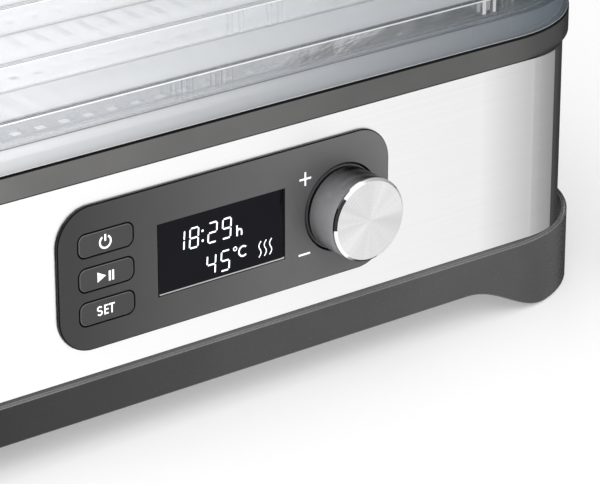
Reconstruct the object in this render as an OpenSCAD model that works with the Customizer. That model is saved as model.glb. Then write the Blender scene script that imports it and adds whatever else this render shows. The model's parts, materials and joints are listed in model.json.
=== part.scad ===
// Table-top food dehydrator: a heated fan base, a stack of clear trays and a lid.
// Millimetres. +Z is up, the control panel faces -Y, and the floor is z = 0.

/* [Base] */
// Depth from the steel front face to the back wall
base_d = 300; // [270:5:340]
// Corner radius of the base body
body_r = 37.4; // [30:0.1:50]
// Height of the steel wall between the skirt ledge and the rim
wall_h = 88.4; // [84:0.1:110]
// Thickness of the housing wall behind the steel
shell_t = 2.5; // [2:0.1:3.5]
// Width of the rim that carries the trays
rim_w = 463.2; // [456:0.2:480]
// How far the rim stands out over the base body at each side
rim_over = 19.4; // [18:0.2:23]
// Corner radius of the rim and the trays
rim_r = 66; // [58:0.5:74]
// Height of the rim face
rim_h = 10.9; // [9:0.1:14]
// Radial thickness of the rim ring
rim_t = 8; // [7:0.1:10]
// Thickness of the shelf inside the rim
shelf_t = 3; // [2:0.1:4]
// How far the shelf reaches in from the body outline
shelf_in = 12; // [10:0.5:14]
// Height of the lip that centres a tray on what is below it
lip_h = 4; // [3:0.1:6]

/* [Skirt and feet] */
// How far the rim stands out over the skirt at each side
skirt_under = 1.6; // [0:0.1:3]
// Corner radius of the foot skirt
skirt_r = 66; // [58:0.5:74]
// How far the skirt stands in front of the steel face
skirt_out = 4.9; // [3.5:0.1:7]
// Height of the skirt face above its arched edge
skirt_h = 17.8; // [16:0.1:22]
// Wall thickness of the skirt
skirt_t = 3; // [2.5:0.1:4]
// Thickness of the ledge on top of the skirt
ledge_t = 2.5; // [2:0.1:3]
// How far the ledge reaches in under the housing wall
ledge_in = 8; // [6:0.5:10]
// Clear height under the skirt between the feet
foot_h = 17.1; // [14:0.1:20]
// Distance from the middle to where a front foot becomes flat
foot_x = 184; // [178:1:188]
// Distance from the skirt's front to where a foot becomes flat
foot_y = 46; // [42:1:52]
// Length of the curve from the arch down to a foot
foot_run = 51; // [40:1:60]
// Width of the groove along the skirt's top edge
groove_w = 0.9; // [0.6:0.1:1.2]
// Depth of the groove along the skirt's top edge
groove_d = 0.9; // [0.5:0.1:1.5]
// Distance of the groove from the skirt face
groove_in = 1.1; // [0.8:0.1:1.4]
// Wall around a pad inside a foot
pad_wall = 2.5; // [2:0.1:3]
// Thickness of the pan floor
floor_t = 2.5; // [2:0.1:3.5]
// Radius of a rubber foot pad
pad_r = 8.5; // [7:0.1:9]
// Thickness of a rubber foot pad
pad_t = 2.8; // [2.2:0.1:3.2]
// How far a pad stands below its foot
pad_out = 0.8; // [0.5:0.1:1.2]

/* [Steel front] */
// Thickness of the steel sheet
sheet_t = 0.8; // [0.5:0.1:1.2]
// Angle that the sheet wraps into each corner
sheet_wrap = 24; // [15:1:40]

/* [Control panel] */
// Width of the panel
panel_w = 176.5; // [172:0.5:190]
// Height of the panel
panel_h = 66; // [62:0.5:74]
// Corner radius of the panel
panel_r = 17; // [12:0.5:20]
// How far the panel stands in front of the steel
panel_t = 1.4; // [1.2:0.1:2.5]
// Height of the panel's centre above the middle of the steel wall
panel_up = 0.8; // [-2:0.1:2]
// Thickness of the panel's rear frame inside the cut-out
frame_t = 1.6; // [1.2:0.1:2.2]
// Width of the panel's border outside its rear frame
panel_edge = 4; // [3:0.1:5]
// Width of the display window
display_w = 67; // [58:0.5:68]
// Height of the display window
display_h = 33; // [26:0.5:36]
// Place of the display window to the left of the panel's centre
display_x = 3.6; // [2:0.1:5]
// Depth of the display window below the panel face
display_in = 0.5; // [0.4:0.1:0.7]
// Thickness of the display lens
lens_t = 1.4; // [1:0.1:1.6]
// Lens border hidden behind the panel
lens_edge = 2; // [1.5:0.1:2.5]
// Width of a key
key_w = 27.2; // [22:0.1:27.4]
// Height of a key
key_h = 10; // [8:0.1:11]
// Corner radius of a key
key_r = 3.2; // [2:0.1:3.8]
// Distance between key centres
key_pitch = 15.6; // [14.6:0.1:17]
// Distance from the panel's left end to the middle of the keys
key_side = 24.35; // [22.3:0.05:25.3]
// Travel of a key
key_travel = 0.8; // [0.5:0.1:1]
// How far a key stands in front of the panel face
key_proud = 0.2; // [0.1:0.1:0.5]
// Distance from the steel face to the control board
board_y = 10; // [9:0.5:14]
// Thickness of the circuit boards
board_t = 1.6; // [1:0.1:2]

/* [Knob] */
// Radius of the knob
knob_r = 19.3; // [16:0.1:20]
// Length of the knob
knob_l = 20.2; // [16:0.1:26]
// Distance from the panel's right end to the middle of the knob
knob_side = 26.35; // [25.25:0.05:28.25]
// Depth of the round recess behind the knob
knob_recess = 0.4; // [0.3:0.1:0.6]
// Width of the shadow ring around the knob
knob_ring = 0.9; // [0.6:0.1:1.4]
// Thickness of the metal cap at the knob's face
cap_t = 4; // [3:0.1:6]
// Chamfer around the metal cap
cap_edge = 1.1; // [0.6:0.1:1.6]
// Wall thickness of the knob body
knob_wall = 2.4; // [1.8:0.1:3]
// Radius of the encoder shaft
shaft_r = 3; // [2.5:0.1:3.5]

// How far the bushing of the encoder is wider than its shaft
bushing_t = 1.5; // [1.2:0.1:2]

/* [Fan and heater] */
// Inner radius of the air duct
duct_r = 59.5; // [56:0.5:64]
// Wall thickness of the air duct
duct_t = 2.5; // [2:0.1:3.5]
// Radial gap between the fan blades and the duct
fan_gap = 4.5; // [3:0.1:6]
// Height of the fan blades
fan_h = 16; // [12:0.5:20]
// Height of the fan blades above the motor bracket
fan_up = 12; // [8:0.5:14]
// Slope of the fan blades
blade_angle = 28; // [15:1:40]
// Number of fan blades
fan_blades = 7; // [5:1:9]
// Radius of the fan hub
hub_r = 11; // [9:0.5:14]
// Radius of the fan shaft
axle_r = 2.5; // [2:0.1:3]
// Radius of the fan motor
motor_r = 24; // [20:0.5:28]
// Height of the fan motor
motor_h = 25; // [20:0.5:26]
// Height of the motor bracket above the pan floor
bracket_up = 28; // [28:0.5:32]
// Height of the heater above the pan floor
heater_up = 71; // [68:0.5:74]
// Height of the mica plates that hold the heater wire
mica_h = 16; // [14:0.5:18]
// Thickness of a mica plate
mica_t = 1.2; // [1:0.1:2]
// Radius of the wound heater wire
coil_r = 1.6; // [1.2:0.1:2]
// Number of heater rings
coil_turns = 4; // [2:1:4]
// Distance between heater rings
coil_pitch = 9.5; // [8:0.5:10]
// Thickness of the deck plate
deck_t = 2.5; // [2:0.1:3]
// Number of slots in each ring of the deck grille
deck_slots = 24; // [12:1:28]
// Radius of the drip cap over the grille
drip_r = 64; // [40:1:70]
// Thickness of the drip cap
drip_t = 1.2; // [1:0.1:1.5]
// Height of the drip cap above the deck plate
drip_up = 6; // [4:0.5:6.5]

/* [Trays] */
// Height from one tray to the next
tray_pitch = 24.2; // [22:0.1:30]
// Height of the band at the foot of a tray
band_h = 12; // [10:0.5:14]
// Thickness of a tray's walls
tray_t = 2; // [1.6:0.1:2.4]
// Thickness of the flange that the next tray stands on
flange_t = 1.6; // [1.2:0.1:2.4]
// Distance of a tray's outside from the edge of the rim
tray_in = 0.6; // [0.3:0.1:1.5]
// Distance between the slots of a tray's floor
slot_pitch = 12; // [10:0.5:16]
// Width of a floor slot
slot_w = 7.2; // [5:0.1:7.4]
// Width of the bars across the tray floor
bar_w = 8; // [5:0.5:12]
// Half the distance between the two ribs of a stacking post
post_half = 2.9; // [2:0.1:4]
// Radius of a rib on a stacking post
post_r = 1.3; // [1:0.1:1.6]
// How much further right the front posts stand than the back ones
post_step = 9.2; // [0:0.1:12]
// Height of the lid
lid_h = 10; // [8:0.5:16]
// Number of vent slots in each row of the lid
vents = 11; // [5:2:15]
// Length of a vent slot
vent_l = 60; // [40:1:80]
// Width of a vent slot
vent_w = 5; // [3:0.1:8]
// Width of the lid handle
grip_w = 110; // [80:1:140]
// Height of the lid handle
grip_h = 22; // [18:0.5:30]
// Depth of the lid handle
grip_d = 20; // [14:0.5:26]
// Thickness of the lid handle's bar
grip_t = 7; // [5:0.1:9]
// Width of a leg of the lid handle
grip_leg = 12; // [10:0.5:16]

/* [Power board] */
// Width of the power board
power_w = 92; // [80:1:100]
// Depth of the power board
power_d = 62; // [56:1:70]
// Distance of the power board's middle from the side of the base body
power_side = 84.2; // [80:0.2:90]
// Distance of the power board's middle from the back wall
power_back = 88; // [80:1:100]
// Height of the power board above the pan floor
board_up = 7; // [6:0.5:12]

/* [Screws] */
// Radius of the screw threads
thread_r = 1.5; // [1.2:0.1:1.7]
// Radius of a large screw head
head_r = 3.6; // [3:0.1:4]
// Radius of a small screw head
small_head_r = 2.6; // [2.3:0.1:3]
// Height of a screw head
head_t = 1.8; // [1.4:0.1:2.2]
// Radius of a screw boss
boss_r = 4.5; // [4:0.1:5]
// Distance of the front and back bosses from the side of the base body
boss_side = 60; // [55:1:70]
// Distance of the deck's screws from the front and the back wall
deck_back = 90; // [85:1:95]
// Height of the bosses over the pan floor
boss_h = 40; // [24:1:60]

/* [Cord inlet] */
// Radius of the hole for the cord
cord_r = 3.6; // [3:0.1:4.5]
// Distance of the inlet from the screw boss beside it
inlet_side = 34.2; // [21:0.1:70]
// Height of the inlet above the floor
inlet_z = 62; // [50:1:80]

/* [Clearances] */
// Gap between pieces of different bodies that stand on each other
seat_gap = 0.3; // [0.2:0.05:0.4]
// Gap between the steel sheet and its pocket
sheet_gap = 0.1; // [0.05:0.05:0.2]
// Radial gap of a shaft that turns in a bore
run_gap = 0.05; // [0.02:0.01:0.09]
// Radial gap of a part pressed or screwed home
press_gap = 0.02; // [0.01:0.01:0.03]
// Gap around a key in its hole
key_gap = 0.35; // [0.25:0.05:0.5]
// Gap around a part that drops into an opening
fit_gap = 0.2; // [0.1:0.05:0.3]
// Sideways gap between stacked trays
stack_gap = 0.5; // [0.3:0.05:0.8]

/* [Hidden] */
$fn = 96;
eps = 0.5; // how far joined solids run into each other
cut = 1; // how far a cut runs past a face

// widths
body_w = rim_w - 2 * rim_over;
skirt_w = rim_w - 2 * skirt_under;
key_x = panel_w / 2 - key_side;
knob_x = panel_w / 2 - knob_side;

// heights
ledge_z = foot_h + skirt_h;
rim_z = ledge_z + wall_h;
top_z = rim_z + rim_h;
grille_t = 1.8;
floor_z = foot_h + grille_t + 0.1;
inside_z = floor_z + floor_t;
deck_z = rim_z + shelf_t;
panel_z = ledge_z + wall_h / 2 + panel_up;
controls_z = panel_z - 1;
tray_z = top_z + seat_gap;
lid_z = tray_z + 5 * tray_pitch;
lid_top = lid_z + lid_h;

// depths from the steel face, inwards positive
recess_y = -panel_t + knob_recess;
knob_back = recess_y - seat_gap;
knob_front = knob_back - knob_l;
cap_y = knob_front + cap_t;
shaft_end = cap_y + 1.6;
wall_in = sheet_t + sheet_gap + shell_t;
lens_y = -panel_t + display_in;
lcd_y = lens_y + lens_t;
lcd_t = 2.6;
plunger_y = board_y - 5;
plunger_l = 1;
key_back = frame_t + 1.1;
stem_end = plunger_y - key_travel - fit_gap;
encoder_y = frame_t + 1.4;
body_y = (-knob_front - skirt_out) / 2; // puts the middle of the whole depth on y = 0
front_y = -base_d / 2;

// steel sheet: where its wrapped ends stop
sheet_x = body_w / 2 - body_r + body_r * sin(sheet_wrap);
sheet_y = body_r * (1 - cos(sheet_wrap)) + sheet_t * 2 + sheet_gap;

// feet
foot_places = [for (sx = [-1, 1], sy = [-1, 1])
    [sx * (foot_x + pad_r + 0.5), sy * (base_d / 2 + skirt_out - foot_y + pad_r + 1.5)]];

// screw places and depths
thread_in = 12;
boss_x = body_w / 2 - boss_side;
pan_bosses = [for (sx = [-1, 1], sy = [-1, 1]) [sx * boss_x, sy * (base_d / 2 - wall_in - boss_r + eps)],
    for (sx = [-1, 1]) [sx * (body_w / 2 - wall_in - boss_r + eps), 0]];
deck_boss_h = 12;
deck_boss_r = boss_r - 0.5;
deck_bosses = [for (sx = [-1, 1], sy = [-1, 1])
    [sx * (body_w / 2 - wall_in - boss_r), sy * (base_d / 2 - deck_back)]];
web_t = 3;

// control panel and its board
board_w = panel_w - 2 * panel_edge - 5;
board_h = panel_h - 2 * panel_edge - 4;
board_posts = [for (sx = [-1, 1], sz = [-1, 1]) [sx * (board_w / 2 - 4), sz * (board_h / 2 - 3)]];
post_out_r = 2.6;
clip_side = 36;
clip_x = panel_w / 2 - clip_side;
clip_w = 8;
clip_t = 1.6;
bushing_r = shaft_r + bushing_t;
key_flange = 0.8;
stem_r = 2;

// fan and heater
bracket_t = 3;
seat_r = 7; // radius of the motor's locating boss
seat_h = 4;
bracket_z = inside_z + bracket_up;
fan_z = bracket_z + fan_up;
fan_r = duct_r - fan_gap;
fan_chord = 26;
blade_t = 2;
axle_in = 11.5;
axle_out = 4;
axle_clear = 0.5;
heater_z = inside_z + heater_up;
coil_z = heater_z + mica_h / 2;
coil_start = 16;
drip_posts = [90, 210, 330];
drip_post_r = 2.5;

// power board, and the boxes and cans on it: place and size
power_x = body_w / 2 - power_side;
power_y = base_d / 2 - power_back;
power_boxes = [[[-30, -18], [20, 16, 15]], [[-4, -20], [26, 22, 20]], [[6, 14], [12, 8, 12]]];
power_cans = [[[-22, 16], 7, 22], [[32, -4], 5, 12]];
power_posts = [for (sx = [-1, 1], sy = [-1, 1])
    [power_x + sx * (power_w / 2 - 5), power_y + sy * (power_d / 2 - 5)]];
power_post_r = 3.5;
power_top = inside_z + board_up + board_t;

// deck grille, heat cut-out and air sensor
inner_slot_l = 14;
inner_slot_w = 2.8;
outer_slot_l = 16;
outer_slot_w = 4.4;
slot_ring_gap = 4;
slot_rim = 5.5;
outer_slot_r = duct_r - slot_rim - outer_slot_l;
inner_slot_r = outer_slot_r - slot_ring_gap - inner_slot_l;
cutout_x = 24;
cutout_l = 10;
cutout_t = 4;
cutout_h = 4.4;
sensor_x = 36;
sensor_y = 14;
sensor_l = 9;
sensor_r = 2.2;

// cord inlet
inlet_x = boss_x - inlet_side;
inlet_r = cord_r + 3;
flange_r = inlet_r + 2.5;
inlet_out = 3.5;
nut_t = 3;

// trays and lid
wall_out = tray_in + tray_t + stack_gap;
floor_in = wall_out + tray_t + 2; // where the slatted floor starts
flange_top = tray_pitch - seat_gap;
post_x = [-23.7, -2.9, 148];
slot_half = floor((rim_w / 2 - floor_in - 14) / slot_pitch);
vent_pitch = 24;
vent_y = 78;
grip_screw_x = (grip_w - grip_leg) / 2;
grip_screw_in = 7;

// place everything so that the middle of the whole depth is y = 0
module placed() translate([0, body_y, 0]) children();

// rounded rectangle about the origin, drawn in by inset
module plan(w, d, r, inset = 0) {
    square([w - 2 * r, d - 2 * inset], center = true);
    square([w - 2 * inset, d - 2 * r], center = true);
    for (sx = [-1, 1], sy = [-1, 1])
        translate([sx * (w / 2 - r), sy * (d / 2 - r)]) circle(r - inset);
}
module body_plan(inset = 0) plan(body_w, base_d, body_r, inset);
module rim_plan(inset = 0) plan(rim_w, base_d, rim_r, inset);
module skirt_plan(inset = 0) plan(skirt_w, base_d + 2 * skirt_out, skirt_r, inset);
module panel_plan(inset = 0) plan(panel_w, panel_h, panel_r, inset);

// upright solid from z up by h
module rise(z, h) translate([0, 0, z]) linear_extrude(h) children();

// upright round bar at the place p from z up by h
module stud(p, z, r, h) translate([p[0], p[1], z]) cylinder(r = r, h = h);

// solid from depth a to depth b behind the steel face, its outline drawn about (x, z)
module slab(x, z, a, b)
    translate([x, front_y + b, z]) rotate([90, 0, 0]) linear_extrude(b - a) children();

// round bar from depth a to depth b behind the steel face
module rod(x, z, r, a, b)
    translate([x, front_y + b, z]) rotate([90, 0, 0]) cylinder(r = r, h = b - a);

// outline of the air gap between two feet, seen from the side
function arch_side(half, h, n = 14) =
    [for (i = [0:n]) [half - foot_run * i / n, pad_out + (h - pad_out) * (1 - cos(180 * i / n)) / 2]];
module arch(half) {
    side = arch_side(half, foot_h);
    polygon([[-half, -5], for (p = side) [-p[0], p[1]], for (i = [len(side) - 1:-1:0]) side[i], [half, -5]]);
}

module base_housing() color("#3a3a3b") placed() difference() {
    union() {
        rise(ledge_z, wall_h + eps) difference() {
            body_plan();
            body_plan(wall_in);
        }
        rise(rim_z, shelf_t) difference() {
            rim_plan();
            body_plan(shelf_in);
        }
        rise(rim_z, rim_h) difference() {
            rim_plan();
            rim_plan(rim_t);
        }
        rise(top_z - eps, lip_h + eps) difference() {
            rim_plan(wall_out);
            rim_plan(rim_t);
        }
        for (p = pan_bosses) stud(p, inside_z, boss_r, boss_h);
        for (p = deck_bosses) {
            stud(p, deck_z - deck_boss_h, deck_boss_r, deck_boss_h);
            translate([p[0] > 0 ? p[0] : p[0] - boss_r - eps, p[1] - web_t / 2, deck_z - deck_boss_h])
                cube([boss_r + eps, web_t, deck_boss_h]);
        }
    }
    steel_shape(-cut, sheet_t + sheet_gap, ledge_z - eps, rim_z);
    panel_opening(-cut, wall_in + cut);
    for (p = pan_bosses) stud(p, inside_z - cut, thread_r + press_gap, thread_in + floor_t + cut);
    for (p = deck_bosses) stud(p, deck_z - deck_boss_h + 2, thread_r + press_gap, deck_boss_h);
    inlet_hole();
}

// front part of the body outline between two insets
module steel_shape(outer, inner, z0, z1) intersection() {
    rise(z0, z1 - z0) difference() {
        body_plan(outer);
        body_plan(inner);
    }
    translate([-sheet_x, front_y - 2 * cut, z0]) cube([2 * sheet_x, 2 * cut + sheet_y, z1 - z0]);
}

module panel_opening(a, b) slab(0, panel_z, a, b) panel_plan(panel_edge - fit_gap);

module stainless_panel() color("#d9dadb") placed() difference() {
    steel_shape(0, sheet_t, ledge_z + sheet_gap, rim_z - sheet_gap);
    panel_opening(-cut, sheet_t + cut);
}

module base_pan() color("#343435") placed() difference() {
    union() {
        rise(pad_out, ledge_z - pad_out) difference() {
            skirt_plan();
            skirt_plan(skirt_t);
        }
        rise(ledge_z - ledge_t, ledge_t) difference() {
            skirt_plan();
            body_plan(ledge_in);
        }
        rise(floor_z, floor_t) skirt_plan(skirt_t - eps);
        for (p = foot_places) stud(p, pad_out, pad_r + fit_gap + pad_wall, floor_z - pad_out + eps);
        for (p = power_posts) stud(p, inside_z - eps, power_post_r, board_up + eps);
    }
    rotate([90, 0, 0]) linear_extrude(2 * base_d, center = true) arch(foot_x);
    rotate([90, 0, 90]) linear_extrude(2 * skirt_w, center = true) arch(base_d / 2 + skirt_out - foot_y);
    for (p = foot_places) stud(p, -cut, pad_r + fit_gap, pad_t + cut);
    rise(ledge_z - groove_d, groove_d + cut) difference() {
        skirt_plan(groove_in);
        skirt_plan(groove_in + groove_w);
    }
    stud([0, 0], floor_z - cut, duct_r - 4, floor_t + 2 * cut);
    for (p = pan_bosses) {
        stud(p, floor_z - cut, thread_r + fit_gap, floor_t + 2 * cut);
        stud(p, ledge_z - ledge_t - cut, boss_r + fit_gap, ledge_t + 2 * cut);
    }
    for (p = power_posts) stud(p, inside_z, thread_r + press_gap, board_up + cut);
}

module foot_pads() color("#1c1c1c") placed() for (p = foot_places) stud(p, 0, pad_r, pad_t);

module panel_bezel() color("#48484a") placed() difference() {
    union() {
        slab(0, panel_z, -panel_t, 0) panel_plan();
        slab(0, panel_z, -eps, frame_t) panel_plan(panel_edge + fit_gap);
        for (p = board_posts) rod(p[0], panel_z + p[1], post_out_r, frame_t - eps, board_y);
        for (sx = [-1, 1], side = [-1, 1]) clip(sx * clip_x, side);
    }
    slab(-display_x, controls_z, -panel_t - cut, lens_y + eps) square([display_w, display_h], center = true);
    slab(-display_x, controls_z, lens_y, frame_t + cut) lens_plan(fit_gap);
    for (i = [-1:1])
        slab(-key_x, key_z(i), -panel_t - cut, frame_t + cut) plan(key_w, key_h, key_r, -key_gap);
    rod(knob_x, controls_z, knob_r + knob_ring, -panel_t - cut, recess_y);
    rod(knob_x, controls_z, bushing_r + fit_gap, -panel_t - cut, frame_t + cut);
    for (p = board_posts) rod(p[0], panel_z + p[1], thread_r + press_gap, frame_t + cut, board_y + cut);
}
function key_z(i) = panel_z - 0.4 + i * key_pitch;
module lens_plan(gap)
    square([display_w + 2 * (lens_edge + gap), display_h + 2 * (lens_edge + gap)], center = true);

// snap hook over the edge of the cut-out, at the top (side 1) or the bottom (side -1)
module clip(x, side) {
    root = panel_h / 2 - panel_edge - fit_gap - clip_t;
    hook_y = wall_in + fit_gap;
    translate([x - clip_w / 2, front_y, panel_z]) mirror([0, 0, side > 0 ? 0 : 1]) {
        translate([0, frame_t - eps, root]) cube([clip_w, hook_y + clip_t - frame_t + eps, clip_t]);
        translate([0, hook_y, root]) cube([clip_w, clip_t, clip_t + 1.2]);
    }
}

module display_window() color([0.05, 0.05, 0.06, 0.6]) placed()
    slab(-display_x, controls_z, lens_y, lcd_y) lens_plan(0);

module lcd_module() color("#22262b") placed() {
    slab(-display_x, controls_z, lcd_y, lcd_y + lcd_t)
        square([display_w + 2, display_h + 2], center = true);
    slab(-display_x, controls_z, lcd_y + lcd_t - eps, board_y)
        square([display_w - 1, display_h - 1], center = true);
}

// one key: cap, flange behind the panel and stem towards its switch
module key(i) color("#3c3c3e") placed() {
    slab(-key_x, key_z(i), -panel_t - key_proud, key_back - eps) plan(key_w, key_h, key_r);
    slab(-key_x, key_z(i), frame_t + 0.1, key_back) plan(key_w, key_h, key_r, -key_flange);
    rod(-key_x, key_z(i), stem_r, key_back - eps, stem_end);
}
module power_button() key(1);
module play_button() key(0);
module set_button() key(-1);

module knob_body() color("#4a4a4c") placed() difference() {
    rod(knob_x, controls_z, knob_r, cap_y, knob_back);
    difference() {
        rod(knob_x, controls_z, knob_r - knob_wall, cap_y + knob_wall, knob_back + cut);
        rod(knob_x, controls_z, shaft_r + knob_wall, cap_y, knob_back - 1.5);
    }
    rod(knob_x, controls_z, shaft_r + press_gap, shaft_end - fit_gap, knob_back + cut);
}

module knob_cap() color("#dddddd") placed()
    translate([knob_x, front_y + cap_y, controls_z]) rotate([90, 0, 0]) rotate_extrude()
        polygon([[0, 0], [knob_r, 0], [knob_r, cap_t - cap_edge], [knob_r - cap_edge, cap_t], [0, cap_t]]);

module encoder_shaft() color("#9a9a9a") placed()
    rod(knob_x, controls_z, shaft_r, shaft_end, board_y - 1 - fit_gap);

module encoder_body() color("#3b5a3f") placed() difference() {
    union() {
        slab(knob_x, controls_z, encoder_y, board_y) square([14, 14], center = true);
        rod(knob_x, controls_z, bushing_r, recess_y + 0.1, encoder_y + eps);
    }
    rod(knob_x, controls_z, shaft_r + run_gap, -panel_t, board_y - 1);
}

module control_board() color("#1f5a3a") placed() difference() {
    slab(0, panel_z, board_y, board_y + board_t) square([board_w, board_h], center = true);
    for (p = board_posts)
        rod(p[0], panel_z + p[1], thread_r + fit_gap, board_y - cut, board_y + board_t + cut);
}

module tact_switches() color("#2a2a2a") placed() for (i = [-1:1]) {
    slab(-key_x, key_z(i), plunger_y + plunger_l, board_y) square([6, 6], center = true);
    rod(-key_x, key_z(i), 1.75, plunger_y, plunger_y + plunger_l + eps);
}

module board_screws() color("#b0b0b0") placed() for (p = board_posts) {
    rod(p[0], panel_z + p[1], thread_r, board_y - 5, board_y + board_t + eps);
    rod(p[0], panel_z + p[1], small_head_r, board_y + board_t, board_y + board_t + head_t);
}

module deck_slot(start, l, w) translate([start, -w / 2, deck_z - cut]) cube([l, w, deck_t + 2 * cut]);

module air_deck() color("#3e3e40") placed() difference() {
    rise(deck_z, deck_t) rim_plan(rim_t + seat_gap);
    for (i = [0:deck_slots - 1]) rotate(i * 360 / deck_slots) {
        deck_slot(inner_slot_r, inner_slot_l, inner_slot_w);
        deck_slot(outer_slot_r, outer_slot_l, outer_slot_w);
    }
    for (p = deck_bosses) stud(p, deck_z - cut, thread_r + fit_gap, deck_t + 2 * cut);
}

module deck_screws() color("#b0b0b0") placed() for (p = deck_bosses) {
    stud(p, deck_z - deck_boss_h + 4, thread_r, deck_boss_h - 4 + deck_t + eps);
    stud(p, deck_z + deck_t, head_r, head_t);
}

// low cap on three posts that keeps drips off the heater
module drip_cap() color("#3e3e40") placed() {
    rise(deck_z + deck_t + drip_up, drip_t) circle(drip_r);
    for (a = drip_posts) rotate(a) stud([drip_r - 4, 0], deck_z + deck_t, drip_post_r, drip_up + eps);
}

module fan_duct() color("#8d8f92") placed() difference() {
    union() {
        rise(inside_z, deck_z - inside_z) difference() {
            circle(duct_r + duct_t);
            circle(duct_r);
        }
        rise(inside_z, 2) difference() {
            circle(duct_r + duct_t + 6);
            circle(duct_r);
        }
        rise(bracket_z - 2, 2) difference() {
            circle(duct_r + eps);
            circle(duct_r - 3.5);
        }
        for (a = [0:90:270]) rotate(a) translate([duct_r - 3, -3, heater_z - 2]) cube([3 + eps, 6, 2]);
    }
}

module motor_bracket() color("#a9abad") placed() difference() {
    union() {
        rise(bracket_z, bracket_t) difference() {
            circle(duct_r - fit_gap);
            circle(duct_r - 6);
        }
        rise(bracket_z, bracket_t) circle(motor_r);
        for (a = [30:120:270]) rotate(a) translate([0, -5, bracket_z]) cube([duct_r - 3, 10, bracket_t]);
    }
    stud([0, 0], bracket_z - cut, seat_r + fit_gap, bracket_t + 2 * cut);
}

module fan_motor() color("#74777a") placed() difference() {
    union() {
        stud([0, 0], bracket_z - motor_h, motor_r, motor_h);
        stud([0, 0], bracket_z - eps, seat_r, seat_h + eps);
    }
    stud([0, 0], bracket_z - axle_in - axle_clear, axle_r + run_gap, axle_in + axle_clear + seat_h + cut);
}

module fan_shaft() color("#c4c4c4") placed()
    stud([0, 0], bracket_z - axle_in, axle_r, axle_in + fan_up + fan_h + axle_out);

module fan_impeller() color("#2e2f31") placed() difference() {
    union() {
        stud([0, 0], fan_z - 1, hub_r, fan_h + 2);
        intersection() {
            for (i = [0:fan_blades - 1]) rotate(i * 360 / fan_blades)
                translate([fan_r / 2, 0, fan_z + fan_h / 2]) rotate([blade_angle, 0, 0])
                    cube([fan_r + 4, fan_chord, blade_t], center = true);
            stud([0, 0], fan_z, fan_r, fan_h);
        }
    }
    stud([0, 0], fan_z - 2, axle_r + press_gap, fan_h + 4);
}

module heater_ring(i, r) rotate_extrude() translate([coil_start + i * coil_pitch, coil_z]) circle(r);

module heater_frame() color("#c9b48a") placed() difference() {
    for (a = [0, 90]) rotate(a) translate([-(duct_r - fit_gap), -mica_t / 2, heater_z])
        cube([2 * (duct_r - fit_gap), mica_t, mica_h]);
    for (i = [0:coil_turns - 1]) heater_ring(i, coil_r + 0.1);
}

module heater_coil() color("#8a7f78") placed() for (i = [0:coil_turns - 1]) heater_ring(i, coil_r);

module thermal_cutout() color("#c8c8c8") placed()
    translate([cutout_x, mica_t / 2, heater_z + 1]) cube([cutout_l, cutout_t, cutout_h]);

module air_sensor() color("#e8e4da") placed() stud([sensor_x, sensor_y], deck_z - sensor_l, sensor_r, sensor_l);

module intake_grille() color("#2b2b2c") placed() difference() {
    rise(floor_z - grille_t, grille_t) circle(duct_r + 2);
    for (r = [12:9:duct_r - 10], a = [0:60:300]) rotate(a) intersection() {
        rise(floor_z - grille_t - cut, grille_t + 2 * cut) difference() {
            circle(r + 5.5);
            circle(r);
        }
        rise(floor_z - grille_t - 2 * cut, grille_t + 4 * cut)
            polygon([[3, 0], [2 * duct_r, duct_r], [2 * duct_r, -duct_r]]);
    }
}

module power_board() color("#8c6b3a") placed() difference() {
    rise(power_top - board_t, board_t) translate([power_x, power_y])
        square([power_w, power_d], center = true);
    for (p = power_posts) stud(p, power_top - board_t - cut, thread_r + fit_gap, board_t + 2 * cut);
}

module power_screws() color("#b0b0b0") placed() for (p = power_posts) {
    stud(p, power_top - board_t - 5, thread_r, board_t + 5 + eps);
    stud(p, power_top, small_head_r, head_t);
}

// filter choke, mains relay, small relay, smoothing capacitor and varistor
module power_parts() color("#30343a") placed() translate([power_x, power_y, power_top]) {
    for (b = power_boxes) translate(b[0]) cube(b[1]);
    for (c = power_cans) stud(c[0], 0, c[1], c[2]);
}

module pan_screws() color("#b0b0b0") placed() for (p = pan_bosses) {
    stud(p, floor_z - eps, thread_r, floor_t + thread_in);
    stud(p, floor_z - head_t, head_r, head_t);
}

module inlet_hole() translate([-inlet_x, base_d / 2 + cut, inlet_z]) rotate([90, 0, 0])
    cylinder(r = inlet_r + fit_gap, h = wall_in + 2 * cut);

module cord_inlet() color("#1f1f20") placed()
    translate([-inlet_x, base_d / 2, inlet_z]) rotate([90, 0, 0]) difference() {
        union() {
            translate([0, 0, -inlet_out]) cylinder(r = flange_r, h = inlet_out);
            cylinder(r = inlet_r, h = wall_in + nut_t + 1);
            translate([0, 0, wall_in]) cylinder(r = flange_r, h = nut_t);
        }
        translate([0, 0, -inlet_out - cut])
            cylinder(r = cord_r, h = inlet_out + wall_in + nut_t + 1 + 2 * cut);
    }

// stacking posts: pairs of upright ribs on the front and the back, off the middle, so that they miss those of
// the next tray, which is turned about
module posts(z, h) for (side = [-1, 1], x = post_x, s = [-1, 1])
    stud([x - side * post_step / 2 + s * post_half, side * (base_d / 2 - wall_out)], z, post_r, h);

// floor slots in rows that stop at the corner arcs, with a bar across the middle and near each end
module floor_slots(z) {
    near = base_d / 2 - floor_in - 4;
    reach = rim_r - floor_in - 3;
    for (i = [-slot_half:slot_half]) {
        x = i * slot_pitch;
        into = max(0, abs(x) + slot_w / 2 + 4 - (rim_w / 2 - rim_r));
        end = min(near, base_d / 2 - rim_r + sqrt(max(0, reach * reach - into * into)));
        row = end - 8 - bar_w;
        for (s = [-1, 1]) {
            translate([x, s * (end - 4), z]) cube([slot_w, 8, 3 * tray_t], center = true);
            translate([x, s * (bar_w / 2 + row) / 2, z])
                cube([slot_w, row - bar_w / 2, 3 * tray_t], center = true);
        }
    }
}

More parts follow.
